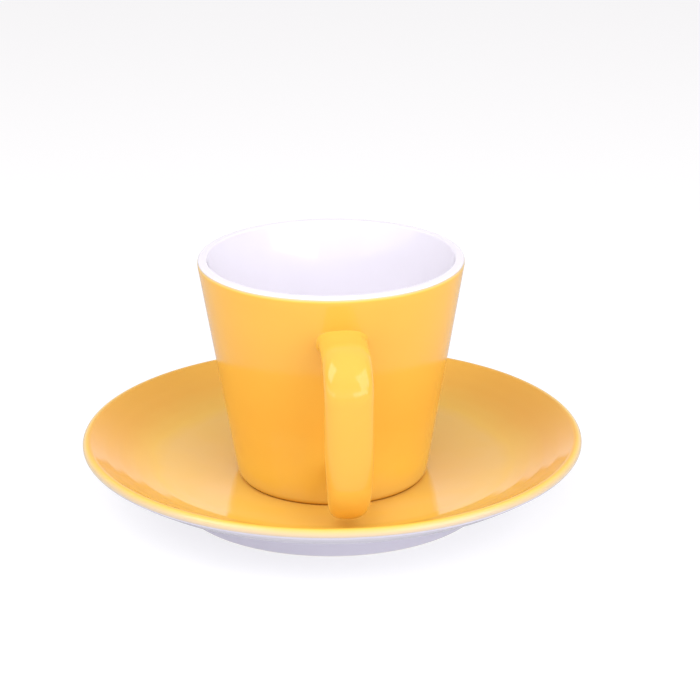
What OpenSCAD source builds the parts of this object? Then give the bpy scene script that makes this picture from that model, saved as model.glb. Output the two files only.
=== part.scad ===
// Espresso cup with saucer. A straight-sided porcelain cup with a strap handle stands in the well of a saucer
// whose flat middle turns up into its rim. The bodies are white. A coat of yellow glaze covers the outside of
// the cup, the handle and the upper face of the saucer.
// Millimetres, +Z up. The origin is on the axis, in the plane of the saucer's foot. The handle points to +X.

/* [Cup] */
// Height of the cup from its foot to its lip
cup_h = 54.5; // [46:0.5:70]
// Diameter of the outer wall at the height of the lip
cup_rim_d = 62.8; // [56:0.2:74]
// Diameter of the outer wall carried down to the plane of the foot
cup_base_d = 44.8; // [40:0.2:52]
// Thickness of the wall at the lip, measured level
cup_lip_t = 2.1; // [1.6:0.1:3]
// Thickness of the wall at the floor, measured level
cup_low_t = 5.8; // [3:0.1:7]
// Rounding of the lip's two edges
cup_lip_round = 0.5; // [0.4:0.1:1.4]
// Thickness of the floor
cup_floor = 3.4; // [2.6:0.1:5]
// Rounding between the inner wall and the floor
cup_bowl_round = 10; // [5:0.5:14]
// Rounding of the outer corner at the base
cup_base_round = 2.6; // [1.6:0.1:4]
// Width of the flat ring that the cup stands on
cup_foot_w = 2.6; // [1.6:0.1:4]
// Depth of the recess inside that ring
cup_recess = 1.2; // [0.6:0.1:2]

/* [Handle] */
// Distance from the lip down to the top of the handle
handle_drop = 8.2; // [5:0.2:14]
// Height of the handle's lowest point above the plane of the cup's foot
handle_rise = 5.1; // [4:0.1:12]
// Distance from the wall at the lip out to the face of the strap
handle_reach = 18.1; // [16:0.1:26]
// Thickness of the strap
handle_t = 6; // [4.6:0.1:7.6]
// Width of the strap over its upper half
handle_w = 11; // [8:0.2:14]
// Width of the strap at its lower root
handle_low_w = 6.8; // [5:0.2:12]
// Outer radius of the upper bend
handle_upper_bend = 11; // [8:0.5:14]
// Outer radius of the lower bend
handle_lower_bend = 10.5; // [8:0.5:14]
// Angle at which the lower arm climbs to the wall
handle_climb = 10; // [0:1:20]
// Growth of the strap on each side where its upper arm is luted to the wall
handle_flare = 0.7; // [0:0.1:1.6]
// Length of each arm over which that growth fades
handle_flare_len = 4; // [2:0.2:6]

/* [Saucer] */
// Diameter over the rim
saucer_d = 120; // [110:1:150]
// Width of the turned-up rim, measured level
rim_w = 10; // [7:0.5:14]
// Slope of the turned-up rim
rim_slope = 35; // [26:1:45]
// Slope of the flat middle
middle_slope = 8.5; // [5:0.5:14]
// Radius of the turn between the middle and the rim
turn_round = 41; // [15:1:60]
// Height of the rim's edge
rim_edge = 2.8; // [2:0.1:4]
// Rounding of the rim's edge
rim_round = 1.15; // [0.5:0.05:1.6]
// Slope of the underside at the rim
under_slope = 47; // [40:1:56]
// Slope of the underside at the foot ring
under_foot_slope = 3; // [0:0.5:8]
// Thickness of the body above the foot ring
saucer_t = 4.2; // [3:0.1:6]
// Thickness of the floor under the well
saucer_floor = 3.85; // [2.4:0.05:5]
// Depth of the well that the cup stands in
well_depth = 0.7; // [0.5:0.1:2]
// Gap between the cup's base and the edge of the well
well_gap = 1; // [0.6:0.1:3]
// Outer diameter of the foot ring
saucer_foot_d = 74; // [64:1:84]
// Width of the foot ring
saucer_foot_w = 3.4; // [2:0.1:6]
// Depth of the recess inside the foot ring
saucer_recess = 1.8; // [1:0.1:3]

/* [Glaze] */
// Thickness of the coat of yellow glaze
coat_t = 0.25; // [0.15:0.05:0.4]
// Height of the bare band over the cup's foot
coat_foot_gap = 0.5; // [0.3:0.1:2]
// Height of the bare white band at the cup's lip
coat_lip_gap = 0.5; // [0.3:0.1:2]

/* [Hidden] */

white = [0.96, 0.95, 0.97];
yellow = [0.99, 0.76, 0.31];

// Fineness of the arcs, the overrun of cuts past the faces they open, and the overlap of corner pieces
$fa = 2;
$fs = 0.25;
overrun = 1;
seam = 0.2;

// A rounding takes at most this share of the shortest face beside it
round_share = 0.98;

// Small roundings that the glaze leaves on the edges of rings and wells
foot_round = 0.8;
recess_round = 1.2;
under_round = 1.5;
well_edge_round = 0.9;
well_foot_round = 0.7;
well_wall_slope = 55;

// Radii of the named diameters
cup_rim_r = cup_rim_d / 2;
cup_base_r = cup_base_d / 2;
rim_r = saucer_d / 2 - coat_t;
saucer_foot_r = saucer_foot_d / 2;

// Lean of the cup's wall and the plane that the cup stands on, the coated floor of the well
wall_lean = (cup_rim_r - cup_base_r) / cup_h;
seat_z = saucer_recess + saucer_floor + coat_t;
function cup_r(z) = cup_base_r + wall_lean * (z - seat_z);

// Cup's bowl: the inner wall leans more than the outer one, because the wall thins toward the lip
lip_z = seat_z + cup_h;
bowl_z = seat_z + cup_recess + cup_floor;
bowl_r = cup_r(bowl_z) - cup_low_t;
bowl_lean = (cup_rim_r - cup_lip_t - bowl_r) / (lip_z - bowl_z);

// Saucer's upper face: floor of the well, edge of the well, turn and rim
well_floor_z = saucer_recess + saucer_floor;
well_edge_z = well_floor_z + well_depth;
well_r = cup_r(seat_z + well_depth) + coat_t + well_gap;
well_floor_r = well_r - well_depth / tan(well_wall_slope);
turn_r = rim_r - rim_w;
turn_z = well_edge_z + (turn_r - well_r) * tan(middle_slope);
rim_z = turn_z + rim_w * tan(rim_slope);
rim_low_z = rim_z - rim_edge;

// Saucer's underside: a level stretch from the foot ring and a steep one from the rim meet at the bend
under_z = well_edge_z + (saucer_foot_r - well_r) * tan(middle_slope) - saucer_t;
bend_r = (under_z - rim_low_z - saucer_foot_r * tan(under_foot_slope) + rim_r * tan(under_slope))
    / (tan(under_slope) - tan(under_foot_slope));
bend_z = under_z + (bend_r - saucer_foot_r) * tan(under_foot_slope);

// Roundings held to what their faces leave
rim_fit = min(rim_round, round_share * rim_edge
    / (tan((90 - under_slope) / 2) + tan((90 + rim_slope) / 2)));
widest_z = (rim_z - rim_fit * tan((90 + rim_slope) / 2)
    + rim_low_z + rim_fit * tan((90 - under_slope) / 2)) / 2;
turn_fit = min(turn_round, round_share * (rim_w / cos(rim_slope) - rim_fit * tan((90 + rim_slope) / 2))
    / tan((rim_slope - middle_slope) / 2));
bend_turn = under_slope - under_foot_slope;
bend_fit = round_share / tan(bend_turn / 2)
    * min((bend_r - saucer_foot_r) / cos(under_foot_slope) - under_round,
          (rim_r - bend_r) / cos(under_slope) - rim_fit * tan((90 - under_slope) / 2));
lip_fit = min(cup_lip_round, round_share * cup_lip_t
    / (tan((90 + atan(wall_lean)) / 2) + tan((90 - atan(bowl_lean)) / 2)));

// Handle's centre line: upper arm, upper bend, strap, lower bend and lower arm, in the plane Y = 0
strap_x = cup_rim_r + handle_reach - handle_t / 2;
upper_z = seat_z + cup_h - handle_drop - handle_t / 2;
lower_z = seat_z + handle_rise + handle_t / 2;
upper_bend_r = handle_upper_bend - handle_t / 2;
lower_bend_r = handle_lower_bend - handle_t / 2;
upper_bend_z = upper_z - upper_bend_r;
lower_bend_z = lower_z + lower_bend_r;
root_sink = cup_lip_t;

// Fineness of the sweep, and the exponent of its oval section
section_sides = 28;
section_power = 2.4;
bend_steps = 10;
strap_steps = 6;
arm_shares = [0, 0.25, 0.5, 0.75, 1];

// Corner i of an outline, each corner being [radius from the axis, height, rounding]
function spot(c, i) = let (p = c[(i + len(c)) % len(c)]) [p[0], p[1]];
function toward(a, b) = (b - a) / norm(b - a);
function is_outer(c, i) = cross(spot(c, i) - spot(c, i - 1), spot(c, i + 1) - spot(c, i)) > 0;
function half_angle(c, i) = acos(toward(spot(c, i), spot(c, i - 1)) * toward(spot(c, i), spot(c, i + 1))) / 2;
function tangent(c, i, side) =
    spot(c, i) + toward(spot(c, i), spot(c, i + side)) * c[i][2] / tan(half_angle(c, i));
function round_centre(c, i) =
    let (p = spot(c, i), way = toward(p, spot(c, i - 1)) + toward(p, spot(c, i + 1)))
    p + way / norm(way) * c[i][2] / sin(half_angle(c, i));

// Outline with true arcs: inner corners are filled up to their arc, outer corners are cut back to theirs
module rounded_outline(corners) {
    every = [for (i = [0 : len(corners) - 1]) i];
    rounded = [for (i = every) if (corners[i][2] > 0) i];
    difference() {
        union() {
            polygon([for (i = every) each corners[i][2] > 0
                ? [tangent(corners, i, -1), spot(corners, i), tangent(corners, i, 1)]
                : [spot(corners, i)]]);
            for (i = rounded)
                if (!is_outer(corners, i)) corner_piece(corners, i);
        }
        for (i = rounded)
            if (is_outer(corners, i)) corner_piece(corners, i);
    }
}

// Piece between a corner and its arc, carried a little past the corner
module corner_piece(corners, i) {
    past = toward(round_centre(corners, i), spot(corners, i)) * seam;
    side = is_outer(corners, i) ? 1 : -1;
    difference() {
        polygon([tangent(corners, i, -side), spot(corners, i) + past, tangent(corners, i, side)]);
        translate(round_centre(corners, i)) circle(corners[i][2]);
    }
}

// Face of a stretch of outline moved out by a distance, with its roundings kept concentric
function face(c, i) = let (w = toward(spot(c, i), spot(c, i + 1))) [w[1], -w[0]];
function grown(c, by) = [for (i = [0 : len(c) - 1])
    let (before = face(c, max(i - 1, 0)), after = face(c, min(i, len(c) - 2)))
    let (p = spot(c, i) + (before + after) * by / (1 + before * after))
    [p[0], p[1], c[i][2] > 0 ? c[i][2] + (is_outer(c, i) ? by : -by) : 0]];

// Section of a coat that lies on a stretch of outline
module coat_outline(c) {
    rounded_outline(concat(grown(c, coat_t), [for (i = [len(c) - 1 : -1 : 0]) c[i]]));
}

// Saucer's upper face, from the widest point of the rim over the turn and the well to the axis
saucer_upper = [
    [rim_r, widest_z, 0],
    [rim_r, rim_z, rim_fit],
    [turn_r, turn_z, turn_fit],
    [well_r, well_edge_z, well_edge_round],
    [well_floor_r, well_floor_z, well_foot_round],
    [0, well_floor_z, 0]
];

// Saucer's underside, from the axis round the foot ring to the rim
saucer_under = [
    [0, saucer_recess, 0],
    [saucer_foot_r - saucer_foot_w, saucer_recess, recess_round],
    [saucer_foot_r - saucer_foot_w, 0, foot_round],
    [saucer_foot_r, 0, foot_round],
    [saucer_foot_r, under_z, under_round],
    [bend_r, bend_z, bend_fit],
    [rim_r, rim_low_z, rim_fit]
];

// Cup's outside, from the flat of the foot up the wall to the top of the lip
cup_flat_r = cup_base_r - cup_base_round * tan((90 + atan(wall_lean)) / 2);
cup_foot_r = cup_flat_r - cup_foot_w;
cup_outside = [
    [cup_foot_r, seat_z, cup_recess / 2],
    [cup_base_r, seat_z, cup_base_round],
    [cup_rim_r, lip_z, lip_fit]
];

// Cup's inside, from the top of the lip down the bowl to the axis, and the recess under its floor
cup_inside = [
    [cup_rim_r - cup_lip_t, lip_z, lip_fit],
    [bowl_r, bowl_z, cup_bowl_round],
    [0, bowl_z, 0],
    [0, seat_z + cup_recess, 0],
    [cup_foot_r - cup_recess, seat_z + cup_recess, cup_recess]
];

// Half section of the cup filled to the lip
module cup_filled_outline() {
    rounded_outline(concat([[0, seat_z, 0]], [cup_outside[1], cup_outside[2]], [[0, lip_z, 0]]));
}

// Section of the strap: an oval of half width w and half thickness t, turned to face the angle a
function bow(v) = sign(v) * pow(abs(v), 2 / section_power);
function ring(s) = [for (k = [0 : section_sides - 1])
    let (q = 360 * k / section_sides, out = bow(cos(q)) * s[4])
    [s[0] + cos(s[2]) * out, bow(sin(q)) * s[3], s[1] + sin(s[2]) * out]];

// Stations along the handle, each [x, z, facing angle, half width, half thickness], for a place p, an angle
// a, the distance d from the wall and the share f of the way from the strap's middle to the lower root
function ease(v) = v * v * (3 - 2 * v);
function flare(d) = handle_flare * pow(max(1 - max(d, 0) / handle_flare_len, 0), 2);
function station(p, a, d, f) =
    let (width_share = 1 - (1 - handle_low_w / handle_w) * ease(f), growth = flare(d) * width_share)
    [p[0], p[1], a, handle_w / 2 * width_share + growth, handle_t / 2 + growth];
function on_arc(p, r, a) = [p[0] + r * cos(a), p[1] + r * sin(a)];

upper_root = [cup_r(upper_z), upper_z];
upper_centre = [strap_x - upper_bend_r, upper_bend_z];
lower_centre = [strap_x - lower_bend_r, lower_bend_z];
lower_a = -90 - handle_climb;
lower_end = on_arc(lower_centre, lower_bend_r, lower_a);
lower_way = [-cos(handle_climb), sin(handle_climb)];
lower_len = (lower_end[0] - cup_r(lower_end[1])) / (cos(handle_climb) + wall_lean * sin(handle_climb));

// Half strap and lower bend, as shares of the way from the strap's middle to the lower root
half_strap = (upper_bend_z - lower_bend_z) / 2;
lower_turn = -lower_a * PI / 180 * lower_bend_r;
lower_way_len = half_strap + lower_turn + lower_len;
strap_share = half_strap / lower_way_len;
turn_share = lower_turn / lower_way_len;

stations = [
    station(upper_root - [root_sink, 0], 90, 0, 0),
    for (s = arm_shares) station(upper_root + [s * handle_flare_len, 0], 90, s * handle_flare_len, 0),
    for (k = [0 : bend_steps])
        let (a = 90 - 90 * k / bend_steps)
        station(on_arc(upper_centre, upper_bend_r, a), a, handle_flare_len, 0),
    for (k = [1 : strap_steps - 1])
        let (s = k / strap_steps, z = upper_bend_z + (lower_bend_z - upper_bend_z) * s)
        station([strap_x, z], 0, handle_flare_len, max(2 * s - 1, 0) * strap_share),
    for (k = [0 : bend_steps])
        let (s = k / bend_steps, a = lower_a * s)
        station(on_arc(lower_centre, lower_bend_r, a), a, handle_flare_len, strap_share + turn_share * s),
    for (s = arm_shares)
        let (d = (1 - s) * handle_flare_len)
        station(lower_end + lower_way * (lower_len - d), lower_a, d, 1 - d / lower_way_len),
    station(lower_end + lower_way * (lower_len + root_sink), lower_a, 0, 1)
];

// Handle before its roots are cut to the wall: the oval section carried through all stations
module handle_sweep() {
    n = section_sides;
    last = len(stations) - 1;
    polyhedron(
        points = [for (s = stations) each ring(s)],
        faces = [
            [for (k = [n - 1 : -1 : 0]) k],
            for (i = [0 : last - 1], k = [0 : n - 1])
                let (a = i * n + k, b = i * n + (k + 1) % n)
                each [[a, b, a + n], [b, b + n, a + n]],
            [for (k = [0 : n - 1]) last * n + k]
        ]);
}

// White porcelain saucer with its well, turned-up rim and foot ring
module saucer_body() {
    color(white) rotate_extrude() rounded_outline(concat(saucer_under, saucer_upper));
}

// Yellow glaze on the saucer's upper face, as far as the widest point of the rim
module saucer_coat() {
    color(yellow) rotate_extrude() coat_outline(saucer_upper);
}

// White porcelain cup with its bowl, lip and foot ring
module cup_body() {
    color(white) rotate_extrude() rounded_outline(concat(cup_outside, cup_inside));
}

// Yellow glaze on the cup's wall between the foot and the lip, open where the handle is luted
module cup_coat() {
    lip_middle = [cup_rim_r - cup_lip_t / 2, lip_z, 0];
    color(yellow) difference() {
        rotate_extrude()
            intersection() {
                coat_outline([[cup_foot_r, seat_z, 0], cup_outside[1], cup_outside[2], lip_middle]);
                translate([0, seat_z + coat_foot_gap])
                    square([cup_rim_r + overrun, cup_h - coat_foot_gap - coat_lip_gap]);
            }
        handle_sweep();
    }
}

// Yellow strap handle, its two roots cut to the cup's wall
module handle() {
    color(yellow) difference() {
        handle_sweep();
        rotate_extrude() cup_filled_outline();
    }
}

saucer_body();
saucer_coat();
cup_body();
cup_coat();
handle();
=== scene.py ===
import math

import bpy
import numpy as np
from mathutils import Matrix, Vector


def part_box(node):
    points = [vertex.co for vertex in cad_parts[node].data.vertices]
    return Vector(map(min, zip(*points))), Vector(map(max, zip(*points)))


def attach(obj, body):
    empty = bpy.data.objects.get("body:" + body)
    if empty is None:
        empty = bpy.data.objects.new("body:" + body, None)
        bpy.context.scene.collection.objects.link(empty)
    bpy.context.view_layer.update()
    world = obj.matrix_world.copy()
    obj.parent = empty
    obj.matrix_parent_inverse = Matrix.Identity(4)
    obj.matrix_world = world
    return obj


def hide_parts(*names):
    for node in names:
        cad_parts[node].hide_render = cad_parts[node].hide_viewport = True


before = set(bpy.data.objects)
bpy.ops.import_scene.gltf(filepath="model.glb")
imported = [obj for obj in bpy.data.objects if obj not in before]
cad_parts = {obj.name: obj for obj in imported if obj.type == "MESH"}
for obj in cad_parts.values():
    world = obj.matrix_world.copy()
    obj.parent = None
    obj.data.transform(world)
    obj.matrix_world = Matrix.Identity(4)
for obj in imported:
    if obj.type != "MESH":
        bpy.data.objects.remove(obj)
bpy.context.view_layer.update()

# Saucer body
# White porcelain, pressed over a mould and turned: a shallow well for the cup, a nearly flat
# middle, a rim that turns up to a rounded edge, and a foot ring underneath. It has a clear glaze
# all over, wiped off under the foot.
mm = 0.001
rim_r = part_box("saucer_body")[1].x
seat_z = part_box("cup_body")[0].z
coat_t = 0.25 * mm
foot_r = 37.75 * mm
foot_w = 3.4 * mm
foot_round = 0.8 * mm
foot_wiped = 0.35 * mm
recess = 1.8 * mm
recess_round = 1.2 * mm
well_r = 22.1 * mm
well_depth = 0.4 * mm
well_wall_slope = math.tan(math.radians(40))
well_edge_round = 1.2 * mm
well_foot_round = 0.7 * mm
middle_slope = math.tan(math.radians(8.6))
rim_w = 10 * mm
rim_slope = math.tan(math.radians(35))
rim_edge = 2.8 * mm
rim_round = 1.118 * mm
rim_widest = 2.18 * mm
turn_round = 41 * mm
over_foot_t = 2.9 * mm
under_rim_slope = math.tan(math.radians(34))
under_foot_slope = math.tan(math.radians(9))
under_round = 44.8 * mm
under_foot_round = 1.5 * mm

well_floor_z = seat_z - coat_t
well_edge_z = well_floor_z + well_depth
turn_r = rim_r - rim_w
turn_z = well_edge_z + (turn_r - well_r) * middle_slope
rim_z = turn_z + rim_w * rim_slope
under_z = well_edge_z + (foot_r - well_r) * middle_slope - over_foot_t
bend_r = (under_z - rim_z + rim_edge - foot_r * under_foot_slope + rim_r * under_rim_slope) / (
    under_rim_slope - under_foot_slope)
bend_z = under_z + (bend_r - foot_r) * under_foot_slope

sides = 192
flat_step = 0.8 * mm
arc_step = math.radians(5)
least_arc_steps = 4
pole_r = 0.5 * mm

# The saucer's white is set greyer and more lilac than the cup's. This is painted shade for its
# underside, foot and rim edge, which lie in shadow.
saucer_white_painted_shade = (0.645, 0.625, 0.72)
saucer_white_thin_painted_shade = (0.625, 0.605, 0.7)
biscuit_dark = (0.70, 0.67, 0.64)
biscuit_light = (0.82, 0.79, 0.75)
biscuit_grain = 2500
biscuit_rough = 0.6
clear_rough = 0.06
white_clouds = 45
white_cloud_span = (0.3, 0.7)
glaze_ior = 1.5
glaze_waves = 70
glaze_wave_h = 0.012 * mm
glaze_fine = 900
glaze_fine_h = 0.0012 * mm
bare_start = 1.3


def unit(v):
    """The vector divided by its length."""
    return v / np.linalg.norm(v)


def corner_arc(before, corner, after, rounding):
    """Arc that rounds a corner: its ends lie rounding / tan(half the corner's angle) along both
    sides, its centre lies rounding / sin(half the angle) along the bisector, and its points turn
    evenly from one end to the other."""
    if rounding == 0:
        return corner[None]
    back, ahead = unit(before - corner), unit(after - corner)
    half = math.acos(np.dot(back, ahead)) / 2
    centre = corner + unit(back + ahead) * rounding / math.sin(half)
    first = corner + back * rounding / math.tan(half) - centre
    last = corner + ahead * rounding / math.tan(half) - centre
    turn = math.atan2(first[0] * last[1] - first[1] * last[0], first @ last)
    count = max(int(abs(turn) / arc_step), least_arc_steps) + 1
    angle = math.atan2(first[1], first[0]) + np.linspace(0, turn, count)
    return centre + rounding * np.column_stack([np.cos(angle), np.sin(angle)])


def rounded_outline(corners):
    """Outline in radius and height: the corners' arcs in order, with each straight run between
    them cut into equal steps no longer than flat_step."""
    rows = np.array(corners, float)
    spots, rounding = rows[:, :2], rows[:, 2]
    ends = np.vstack([2 * spots[:1] - spots[1:2], spots, 2 * spots[-1:] - spots[-2:-1]])
    arcs = map(corner_arc, ends[:-2], ends[1:-1], ends[2:], rounding)
    path = np.vstack(list(arcs))
    run = np.diff(path, axis=0)
    cuts = np.maximum(np.ceil(np.linalg.norm(run, axis=1) / flat_step).astype(int), 1)
    index = np.repeat(np.arange(len(run)), cuts)
    share = (np.arange(cuts.sum()) - np.repeat(np.cumsum(cuts) - cuts, cuts)) / cuts[index]
    return np.vstack([path[index] + run[index] * share[:, None], path[-1:]])


def turned(radius, height):
    """Rings of a turned piece: each point at the angle a is (radius cos a, radius sin a,
    height)."""
    angle = np.linspace(0, 2 * np.pi, sides, endpoint=False)
    spots = np.broadcast_arrays(radius * np.cos(angle), radius * np.sin(angle), height)
    return np.stack(spots, axis=-1)


def skin(name, rings, joined=False, **values):
    """Closed mesh over a grid of rings: neighbouring rings are joined by quads, and the first and
    last ring either meet each other or are closed by a fan around their middle. Each named value
    is a number per grid point."""
    rows, cols = rings.shape[:2]
    index = np.arange(rows * cols).reshape(rows, cols)
    ahead = np.roll(index, -1, axis=1)
    up, up_ahead = np.roll(index, -1, axis=0), np.roll(ahead, -1, axis=0)
    quads = np.stack([index, ahead, up_ahead, up], axis=-1)[: rows if joined else rows - 1]
    faces = quads.reshape(-1, 4).tolist()
    points = rings.reshape(-1, 3)
    if not joined:
        points = np.vstack([points, rings[0].mean(0), rings[-1].mean(0)])
        low = np.full(cols, rows * cols)
        faces += np.stack([ahead[0], index[0], low], -1).tolist()
        faces += np.stack([index[-1], ahead[-1], low + 1], -1).tolist()
    mesh = bpy.data.meshes.new(name)
    mesh.from_pydata(points.tolist(), [], faces)
    mesh.shade_smooth()
    for key, value in values.items():
        grid = np.broadcast_to(value, (rows, cols))
        ends = [] if joined else [grid[0].mean(), grid[-1].mean()]
        flat = np.concatenate([grid.ravel(), ends]).astype(np.float32)
        mesh.attributes.new(key, "FLOAT", "POINT").data.foreach_set("value", flat)
    piece = bpy.data.objects.new(name, mesh)
    bpy.context.scene.collection.objects.link(piece)
    return piece


def wiped_share(height, wiped):
    """Share of bare biscuit under a wiped foot: a start value less the height over the wiped
    height, held between 0 and 1."""
    return np.clip(bare_start - height / wiped, 0, 1)


def blank_material(name):
    """New material and its emptied node tree."""
    material = bpy.data.materials.new(name)
    material.use_nodes = True
    material.node_tree.nodes.clear()
    return material, material.node_tree


def shader(tree, kind, links=(), **settings):
    """Node of one kind, with its settings, input values and links (input name, output socket)
    set."""
    node = tree.nodes.new("ShaderNode" + kind)
    for key, value in settings.items():
        if key in node.inputs:
            node.inputs[key].default_value = value
        else:
            setattr(node, key, value)
    for key, socket in links:
        tree.links.new(socket, node.inputs[key])
    return node


def tones(tree, value, *steps):
    """Colour that runs through the steps, each a position and a colour in rising order, as the
    value rises from 0 to 1."""
    node = shader(tree, "ValToRGB", [("Fac", value)])
    ramp = node.color_ramp.elements
    first, *inner, last = steps
    for (place, colour), element in zip((first, last), ramp):
        element.position, element.color = place, (*colour, 1)
    for place, colour in inner:
        ramp.new(place).color = (*colour, 1)
    return node.outputs["Color"]


def between(tree, value, low, high):
    """The value's span from 0 to 1 spread from low to high."""
    spread = shader(tree, "MapRange", [("Value", value)])
    spread.inputs["To Min"].default_value = low
    spread.inputs["To Max"].default_value = high
    return spread.outputs["Result"]


def mottle(tree, coords, scale, detail):
    """Soft noise from 0 to 1, with about one blot in each length of 1 / scale metres."""
    return shader(tree, "TexNoise", [("Vector", coords)], Scale=scale, Detail=detail).outputs["Fac"]


def glaze_surface(tree, coords, colour, rough):
    """Fired glaze of one colour and roughness on the material's surface: slow waves some 14 mm
    long and a few micrometres high, with a fine skin over them."""
    waves = mottle(tree, coords, glaze_waves, 1)
    fine = mottle(tree, coords, glaze_fine, 2)
    wavy = shader(tree, "Bump", [("Height", waves)], Distance=glaze_wave_h, Strength=1)
    uneven = shader(tree, "Bump", [("Height", fine), ("Normal", wavy.outputs["Normal"])],
                    Distance=glaze_fine_h, Strength=1)
    glossy = shader(tree, "BsdfPrincipled", [
        ("Base Color", colour), ("Normal", uneven.outputs["Normal"]), ("Roughness", rough)],
        IOR=glaze_ior)
    shader(tree, "OutputMaterial", [("Surface", glossy.outputs["BSDF"])])


def white_porcelain(name, thick, thin):
    """Clear gloss glaze on a cool white body, clouded between the two tones where it is thick and
    thin. The value bare turns it into matt biscuit, where the glaze is wiped."""
    material, tree = blank_material(name)
    coords = shader(tree, "TexCoord").outputs["Object"]
    bare = shader(tree, "Attribute", attribute_name="bare").outputs["Fac"]
    cloud = mottle(tree, coords, white_clouds, 3)
    grain = mottle(tree, coords, biscuit_grain, 2)
    glazed = tones(tree, cloud, *zip(white_cloud_span, (thin, thick)))
    biscuit = tones(tree, grain, (0, biscuit_dark), (1, biscuit_light))
    colour = shader(tree, "Mix", [("Factor", bare), (6, glazed), (7, biscuit)], data_type="RGBA")
    rough = between(tree, bare, clear_rough, biscuit_rough)
    glaze_surface(tree, coords, colour.outputs[2], rough)
    return material


saucer_under = [
    [pole_r, recess, 0],
    [foot_r - foot_w, recess, recess_round],
    [foot_r - foot_w, 0, foot_round],
    [foot_r, 0, foot_round],
    [foot_r, under_z, under_foot_round],
    [bend_r, bend_z, under_round],
    [rim_r, rim_z - rim_edge, rim_round]]
saucer_upper = [
    [rim_r, rim_z - rim_widest, 0],
    [rim_r, rim_z, rim_round],
    [turn_r, turn_z, turn_round],
    [well_r, well_edge_z, well_edge_round],
    [well_r - well_depth / well_wall_slope, well_floor_z, well_foot_round],
    [pole_r, well_floor_z, 0]]
saucer_line = rounded_outline(saucer_under + saucer_upper)
saucer = skin("saucer", turned(saucer_line[:, :1], saucer_line[:, 1:]),
              bare=wiped_share(saucer_line[:, 1:], foot_wiped))
saucer.data.materials.append(white_porcelain("saucer_porcelain", saucer_white_painted_shade, saucer_white_thin_painted_shade))
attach(saucer, "saucer")
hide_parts("saucer_body")

# Saucer coat
# Yellow glaze sprayed on the saucer's upper face and wiped off along the rim. It thins out over the
# rounded edge, where the white shows through, and its thinnest tone there is darkened as painted
# shade on the edge's underside. In the middle, all round the cup, it is painted paler, as painted
# light where the cup and handle shade the saucer.
coat_thin = 1.2 * mm
coat_end_share = 0.05
coat_wobble = 0.08 * mm
wobble_reach = 12 * coat_wobble
wobble_waves = np.arange(2, 12)[:, None]
rim_fade = 2.4 * mm
rim_fade_power = 1.7
rim_drop = 0.45 * mm
painted_light_r = 40 * mm
painted_light_w = 12 * mm
saucer_depth = 0.48
well_painted_light = 0.19

yellow_tones = [
    # The thinnest tone is glaze thinned over the white, darkened as painted shade for the rim
    # edge's downward-facing side.
    (0, (0.66, 0.545, 0.42)),
    (0.22, (0.87, 0.585, 0.185)),
    (0.34, (0.90, 0.575, 0.09)),
    (0.46, (0.865, 0.485, 0.069)),
    (0.6, (0.85, 0.435, 0.06)),
    (1, (0.85, 0.43, 0.045))]
yellow_clouds = 55
yellow_cloud_depth = 0.06
yellow_rough = (0.09, 0.13)


def along(line):
    """Length along a line at each of its points."""
    return np.concatenate([[0], np.cumsum(np.linalg.norm(np.diff(line, axis=0), axis=1))])


def wobble(seed):
    """Slow unevenness around a hand-wiped edge: the mean of ten sine waves of random phase that
    close after a full turn, less its lowest value, so that it only ever draws the edge back."""
    angle = np.linspace(0, 2 * np.pi, sides, endpoint=False)
    phase = np.random.default_rng(seed).uniform(0, 2 * np.pi, wobble_waves.shape)
    uneven = np.sin(wobble_waves * angle + phase).mean(0)
    return coat_wobble * 2 * (uneven - uneven.min())


def coat_rings(line, start, end):
    """Skins of a coat on a turned line: the lower one lies on the line, and the upper one stands
    off it by the coat's thickness. An end that has a wobble moves along the line by it and thins
    out along a quarter circle, to a last small share of the thickness."""
    at = along(line)[:, None]
    way = np.gradient(line, axis=0)
    face = np.column_stack([way[:, 1], -way[:, 0]]) / np.linalg.norm(way, axis=1)[:, None]
    place, thick = np.repeat(at, sides, axis=1), coat_t
    for shift, inward, way_in in ((start, at, 1), (end, at[-1] - at, -1)):
        if shift is not None:
            place = place + way_in * shift * np.clip(1 - inward / wobble_reach, 0, 1) ** 2
            circle = np.sqrt(1 - np.clip(1 - inward / coat_thin, 0, 1) ** 2)
            thick = thick * np.maximum(circle, coat_end_share)
    radius, height, out, up = (np.interp(place, at[:, 0], v) for v in (*line.T, *face.T))
    return turned(radius, height), turned(radius + out * thick, height + up * thick)


def yellow_glaze():
    """Opaque gloss glaze. The depth value runs from 0, where the glaze is thin and pale, over 0.5
    to 1 in a pool, with slow clouds added to it. In places it also carries painted light and
    painted shade."""
    material, tree = blank_material("yellow_glaze")
    coords = shader(tree, "TexCoord").outputs["Object"]
    depth = shader(tree, "Attribute", attribute_name="depth").outputs["Fac"]
    cloud = mottle(tree, coords, yellow_clouds, 3)
    clouding = between(tree, cloud, -yellow_cloud_depth, yellow_cloud_depth)
    uneven = shader(tree, "Math", [(0, depth), (1, clouding)], operation="ADD", use_clamp=True)
    colour = tones(tree, uneven.outputs["Value"], *yellow_tones)
    glaze_surface(tree, coords, colour, between(tree, cloud, *yellow_rough))
    return material


past_edge = (saucer_line[:, 0] > bend_r) & (saucer_line[:, 1] > rim_z - rim_widest - rim_drop)
upper_line = saucer_line[np.flatnonzero(past_edge)[0]:]
from_rim = np.clip(along(upper_line) / rim_fade, 0, 1)
# Painted light: toward the well the coat is painted paler, where the cup and handle shade the
# saucer.
well_light_share = np.clip(1 - (upper_line[:, 0] - painted_light_r) / painted_light_w, 0, 1)
upper_depth = saucer_depth * from_rim ** rim_fade_power - well_painted_light * well_light_share
lower_skin, upper_skin = coat_rings(upper_line, wobble(3), None)
saucer_coat = skin("saucer_coat", np.concatenate([lower_skin[::-1], upper_skin]),
                   depth=np.clip(np.concatenate([upper_depth[::-1], upper_depth]), 0, 1)[:, None])
glaze = yellow_glaze()
saucer_coat.data.materials.append(glaze)
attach(saucer_coat, "saucer")
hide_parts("saucer_coat")

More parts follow.
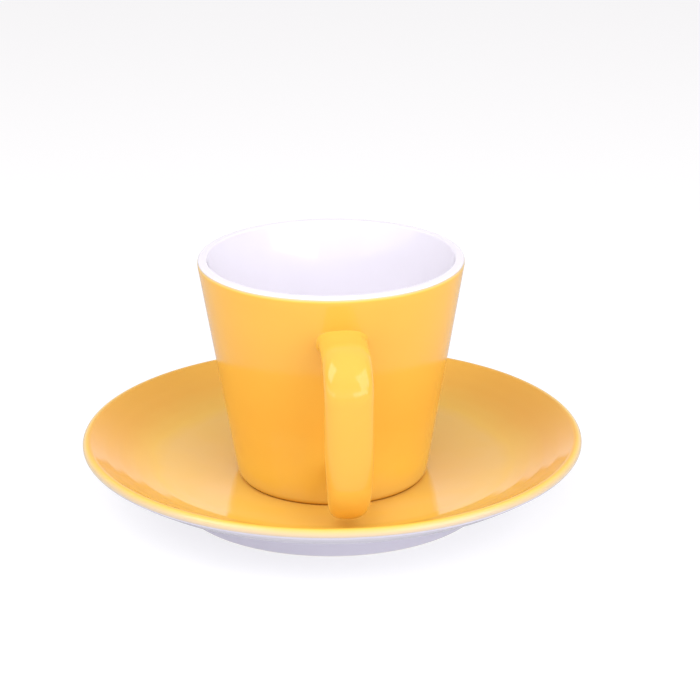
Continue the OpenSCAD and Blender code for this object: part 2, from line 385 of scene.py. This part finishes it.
# Cup body
# White porcelain, jiggered in a plaster mould: a straight flaring wall that thins toward its
# rounded lip, a bowl with a wide rounded corner, and a low flat foot ring that is left unglazed.
lip_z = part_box("cup_body")[1].z
cup_rim_r = 31.4 * mm
cup_base_r = 22.4 * mm
lip_t = 2.1 * mm
low_t = 5.8 * mm
lip_round = 0.5 * mm
cup_floor = 3.4 * mm
bowl_round = 10 * mm
base_round = 2.6 * mm
cup_foot_w = 3.4587 * mm
cup_foot_wiped = 0.3 * mm
cup_recess = 1.2 * mm
cup_white = (0.84, 0.815, 0.88)
cup_white_thin = (0.82, 0.795, 0.86)

wall_lean = (cup_rim_r - cup_base_r) / (lip_z - seat_z)
base_half_angle = (math.pi / 2 + math.atan(wall_lean)) / 2
cup_foot_r = cup_base_r - base_round / math.tan(base_half_angle) - cup_foot_w
bowl_z = seat_z + cup_recess + cup_floor


def wall_r(z):
    """Radius of the cup's outside at a height: the base's radius plus the wall's lean times the
    height above the seat."""
    return cup_base_r + wall_lean * (z - seat_z)


cup_line = rounded_outline([
    [pole_r, seat_z + cup_recess, 0],
    [cup_foot_r - cup_recess, seat_z + cup_recess, cup_recess],
    [cup_foot_r, seat_z, cup_recess / 2],
    [cup_base_r, seat_z, base_round],
    [cup_rim_r, lip_z, lip_round],
    [cup_rim_r - lip_t, lip_z, lip_round],
    [wall_r(bowl_z) - low_t, bowl_z, bowl_round],
    [pole_r, bowl_z, 0]])
cup = skin("cup", turned(cup_line[:, :1], cup_line[:, 1:]),
           bare=wiped_share(cup_line[:, 1:] - seat_z, cup_foot_wiped))
cup.data.materials.append(white_porcelain("cup_porcelain", cup_white, cup_white_thin))
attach(cup, "cup")
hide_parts("cup_body")

# Cup coat
# Yellow glaze on the outside of the cup, from just above the foot to the shoulder of the wiped lip,
# where it ends in a thin, slightly uneven line. Low on the wall it is painted paler, as painted
# light bounced up from the saucer. Along its lower edge it has run together into a deeper line of
# pooled glaze, which also stands as painted shade in the crease where the cup meets the saucer.
coat_foot_gap = 0.15 * mm
coat_lip_gap = 0.5 * mm
lip_fade = 0.6 * mm
lip_fade_share = 0.2
foot_painted_light_h = 22 * mm
foot_painted_light = 0.24
foot_pool = 1.8 * mm
foot_pooling_and_shade = 0.9
full_depth = 0.5


def part_of(line, low, high):
    """Stretch of a rising line between two heights, with its two ends on those heights."""
    inside = line[(line[:, 1] > low) & (line[:, 1] < high)]
    first, last = ([np.interp(z, line[:, 1], line[:, 0]), z] for z in (low, high))
    return np.vstack([[first], inside, [last]])


outside_line = part_of(rounded_outline([
    [cup_foot_r, seat_z, 0],
    [cup_base_r, seat_z, base_round],
    [cup_rim_r, lip_z, lip_round],
    [cup_rim_r - lip_t / 2, lip_z, 0]]), seat_z + coat_foot_gap, lip_z - coat_lip_gap)
from_foot = along(outside_line)
wall_depth = full_depth * np.clip((from_foot[-1] - from_foot) / lip_fade, lip_fade_share, 1)
# Painted light: low on the wall the glaze is painted paler, for light bounced up from the saucer.
# Just above the foot it is painted deeper, pooled glaze that also paints the shade of the crease at
# the saucer.
wall_depth -= foot_painted_light * np.clip(1 - from_foot / foot_painted_light_h, 0, 1)
wall_depth += foot_pooling_and_shade * np.clip(1 - from_foot / foot_pool, 0, 1)
inner_skin, outer_skin = coat_rings(outside_line, wobble(5), wobble(8))
cup_coat = skin("cup_coat", np.concatenate([outer_skin, inner_skin[::-1]]), joined=True,
                depth=np.concatenate([wall_depth, wall_depth[::-1]])[:, None])
cup_coat.data.materials.append(glaze)
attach(cup_coat, "cup")
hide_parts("cup_coat")

# Handle
# Porcelain strap cast in a mould of its own, luted to the wall at two roots with slip and glazed
# yellow with the cup. Its oval section narrows toward the lower root and small fillets of slip run
# out onto the wall. Its top and the underside of its lower bend are painted paler, painted light by
# which way they face.
strap_t = 6 * mm
strap_w = 11 * mm
strap_low_w = 6.8 * mm
upper_bow_outer = 11 * mm
lower_bow_outer = 10.5 * mm
below_lip = 8.2 * mm
above_seat = 5.1 * mm
climb = math.radians(10)
flare = 1.3 * mm
flare_l = 2.2 * mm
root_sink = 0.8 * mm
oval_power = 2.4
oval_sides = 64
arm_rows = 32
upper_rows = 25
strap_rows = 24
lower_rows = 28
strap_depth = 0.6
root_pooling = 0.2
top_painted_light = 0.2
under_painted_light = 0.38
upper_bend = upper_bow_outer - strap_t / 2
lower_bend = lower_bow_outer - strap_t / 2
strap_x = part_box("handle")[1].x - strap_t / 2
upper_z = lip_z - below_lip - strap_t / 2
lower_z = seat_z + above_seat + strap_t / 2


def bend(x, z, radius, first, last, count):
    """Stations on a bend: centre plus radius times (cos, sin) of the facing angle, which turns
    evenly."""
    angle = np.linspace(first, last, count)
    return np.column_stack([x + radius * np.cos(angle), z + radius * np.sin(angle), angle])


def straight(start, end, angle, count, root=None):
    """Stations on a straight run, with one facing angle, set closer toward the root at its start
    or end."""
    share = np.linspace(0, 1, count)[:, None]
    share = {None: share, "start": share ** 2, "end": 1 - (1 - share) ** 2}[root]
    places = np.array(start) * (1 - share) + np.array(end) * share
    return np.column_stack([places, np.full(count, angle)])


def strap_stations():
    """Centre line of the strap, each station being x, z and facing angle: upper arm, upper bend,
    strap, lower bend and lower arm. The lower arm climbs until it meets the leaning wall."""
    upper_x, upper_mid = strap_x - upper_bend, upper_z - upper_bend
    lower_x, lower_mid = strap_x - lower_bend, lower_z + lower_bend
    low_angle = -np.pi / 2 - climb
    lower_bow = bend(lower_x, lower_mid, lower_bend, 0, low_angle, lower_rows)
    low_end, way = lower_bow[-1, :2], np.array([-math.cos(climb), math.sin(climb)])
    reach = math.cos(climb) + wall_lean * math.sin(climb)
    low_root = low_end + way * (low_end[0] - wall_r(low_end[1])) / reach
    upper_root = (wall_r(upper_z), upper_z)
    return np.vstack([
        straight(upper_root, (upper_x, upper_z), np.pi / 2, arm_rows, "start")[:-1],
        bend(upper_x, upper_mid, upper_bend, np.pi / 2, 0, upper_rows)[:-1],
        straight((strap_x, upper_mid), (strap_x, lower_mid), 0, strap_rows)[:-1],
        lower_bow[:-1],
        straight(low_end, low_root, low_angle, arm_rows, "end")])


def bow(v):
    """Cosine or sine of the section angle, raised to 2 / oval_power with its sign kept, which
    gives the oval its fuller sides."""
    return np.sign(v) * np.abs(v) ** (2 / oval_power)


def strap_rings(stations):
    """Oval carried along the strap: at section angle q its point lies half the thickness times a
    power of cos q along the facing direction and half the width times a power of sin q along Y.
    Near the wall the sections grow by a quarter circle and lean onto it, so that the first and last
    ones lie in the wall's face. The second result is the glaze's depth at each section, with
    painted light on its top and underside."""
    at = along(stations[:, :2])[:, None]
    x0, z0, facing = (stations[:, k:k + 1] for k in range(3))
    middle = at[facing == 0].mean()
    fall = np.clip((at - middle) / (at[-1] - middle), 0, 1)
    width = 1 - (1 - strap_low_w / strap_w) * fall * fall * (3 - 2 * fall)
    near = np.clip(1 - np.minimum(at, at[-1] - at) / flare_l, 0, 1)
    grow = flare * (1 - np.sqrt(1 - near ** 2)) * width
    q = np.linspace(0, 2 * np.pi, oval_sides, endpoint=False)
    out = bow(np.cos(q)) * (strap_t / 2 + grow)
    y = bow(np.sin(q)) * (strap_w / 2 * width + grow)
    z = z0 + np.sin(facing) * out
    x = x0 + np.cos(facing) * out + near * (np.sqrt(wall_r(z) ** 2 - y ** 2) - x0)
    rings, sink = np.stack([x, y, z], axis=-1), np.array([root_sink, 0, 0])
    rings = np.concatenate([rings[:1] - sink, rings, rings[-1:] - sink])
    # Painted light: sections that face up or down are painted paler, the top for light from above
    # and the lower bend's underside against its shade.
    upward, downward = (np.clip(2 * side * facing / np.pi, 0, 1) for side in (1, -1))
    depth = strap_depth + root_pooling * near ** 2
    depth = depth - top_painted_light * upward - under_painted_light * np.sqrt(downward)
    return rings, np.pad(depth, ((1, 1), (0, 0)), "edge")


strap, glaze_depth = strap_rings(strap_stations())
handle = skin("handle", strap[::-1], depth=glaze_depth[::-1])
handle.data.materials.append(glaze)
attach(handle, "cup")
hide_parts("handle")

# Table and light
# A plain white table that glows faintly, under a soft sky that darkens upward and to both sides,
# with soft boxes at both sides of the camera and a panel in front that lights the cup but isn't
# mirrored. The camera stands where the photographer's did, with a long lens.
floor_half = 4.0
floor_grey = (0.45, 0.45, 0.45, 1)
floor_glow_seen = 0.61
floor_glow_mirrored = 0.2
floor_corners = [(-floor_half, -floor_half, 0), (floor_half, -floor_half, 0),
                 (floor_half, floor_half, 0), (-floor_half, floor_half, 0)]
floor_mesh = bpy.data.meshes.new("floor")
floor_mesh.from_pydata(floor_corners, [], [(0, 1, 2, 3)])
floor = bpy.data.objects.new("floor", floor_mesh)
bpy.context.scene.collection.objects.link(floor)
floor_white, floor_tree = blank_material("floor_white")
floor_matt = shader(floor_tree, "BsdfDiffuse", Color=floor_grey)
mirrored = shader(floor_tree, "LightPath").outputs["Is Glossy Ray"]
floor_strength = between(floor_tree, mirrored, floor_glow_seen, floor_glow_mirrored)
floor_glow = shader(floor_tree, "Emission", [("Strength", floor_strength)])
floor_both = shader(floor_tree, "AddShader", [
    (0, floor_matt.outputs["BSDF"]), (1, floor_glow.outputs["Emission"])])
shader(floor_tree, "OutputMaterial", [("Surface", floor_both.outputs["Shader"])])
floor_mesh.materials.append(floor_white)

view_turn = math.radians(-4.6)
toward_camera = Vector((math.cos(view_turn), math.sin(view_turn), 0))
to_right = Vector((-math.sin(view_turn), math.cos(view_turn), 0))

sky_tint = (1, 0.955, 1, 1)
sky_heights = (0, 0.58)
sky_glows = (1.05, 0.57)
sky_sides = (0.5, 1)
sky_side_shares = (1, 0.35)


def fade(tree, value, span, ends):
    """Number that runs smoothly from one end to the other while the value crosses its span."""
    node = shader(tree, "MapRange", [("Value", value)], interpolation_type="SMOOTHSTEP")
    for key, number in zip(("From Min", "From Max", "To Min", "To Max"), (*span, *ends)):
        node.inputs[key].default_value = number
    return node.outputs["Result"]


world = bpy.data.worlds.new("studio")
world.use_nodes = True
sky = world.node_tree
sky.nodes["Background"].inputs["Color"].default_value = sky_tint
way_out = shader(sky, "TexCoord").outputs["Generated"]
sky_height = shader(sky, "SeparateXYZ", [("Vector", way_out)]).outputs["Z"]
sideways = shader(sky, "VectorMath", [(0, way_out)], operation="DOT_PRODUCT")
sideways.inputs[1].default_value = to_right
aside = shader(sky, "Math", [(0, sideways.outputs["Value"])], operation="ABSOLUTE")
sky_glow = fade(sky, sky_height, sky_heights, sky_glows)
side_share = fade(sky, aside.outputs["Value"], sky_sides, sky_side_shares)
sky_strength = shader(sky, "Math", [(0, sky_glow), (1, side_share)], operation="MULTIPLY")
sky.links.new(sky_strength.outputs["Value"], sky.nodes["Background"].inputs["Strength"])
bpy.context.scene.world = world
bpy.context.scene.view_settings.view_transform = "Standard"

lit_z = 40 * mm


def soft_box(name, turns, heights, far, glow):
    """Rectangular light that faces the cup and spans a range of angles seen from it, in degrees:
    turns run to the right of the camera's direction and heights up from the table. Its power is
    pi times its area times its glow."""
    turn, height = math.radians(sum(turns) / 2), math.radians(sum(heights) / 2)
    half_turn = math.radians(turns[1] - turns[0]) / 2 * math.cos(height)
    lamp = bpy.data.lights.new(name, "AREA")
    lamp.shape = "RECTANGLE"
    lamp.size = 2 * far * math.tan(half_turn)
    lamp.size_y = 2 * far * math.tan(math.radians(heights[1] - heights[0]) / 2)
    lamp.energy = math.pi * lamp.size * lamp.size_y * glow
    box = bpy.data.objects.new(name, lamp)
    level = toward_camera * math.cos(turn) + to_right * math.sin(turn)
    way = level * math.cos(height) + Vector((0, 0, math.sin(height)))
    box.location = Vector((0, 0, lit_z)) + way * far
    box.rotation_euler = way.to_track_quat("Z", "Y").to_euler()
    bpy.context.scene.collection.objects.link(box)
    return box


soft_box("right_box", turns=(28, 80), heights=(14, 50), far=0.8, glow=2.2)
soft_box("right_strip", turns=(13, 60), heights=(4, 13), far=0.8, glow=2.4)
soft_box("left_box", turns=(-84, -42), heights=(26, 64), far=0.8, glow=2.8)
soft_box("left_strip", turns=(-88, -24), heights=(3, 11), far=0.8, glow=1.2)
front_panel = soft_box("front_panel", turns=(-58, 58), heights=(30, 88), far=0.35, glow=1.28)
front_panel.visible_glossy = False

camera_back = 533.06 * mm
camera_up = 227.52 * mm
target_right = 4.365 * mm
target_up = 36.88 * mm
camera_roll = math.radians(0.285)
picture_px = 700
focal_px = 2374.5
sensor = 36
lens = bpy.data.cameras.new("camera")
lens.sensor_width = sensor
lens.lens = focal_px / picture_px * sensor
camera = bpy.data.objects.new("camera", lens)
eye = toward_camera * camera_back + Vector((0, 0, camera_up))
gaze = (to_right * target_right + Vector((0, 0, target_up)) - eye).normalized()
level = gaze.cross(Vector((0, 0, 1))).normalized()
down = gaze.cross(level)
image_right = level * math.cos(camera_roll) + down * math.sin(camera_roll)
image_up = image_right.cross(gaze)
camera_turn = Matrix([image_right, image_up, -gaze]).transposed().to_4x4()
camera.matrix_world = Matrix.Translation(eye) @ camera_turn
bpy.context.scene.collection.objects.link(camera)
bpy.context.scene.camera = camera
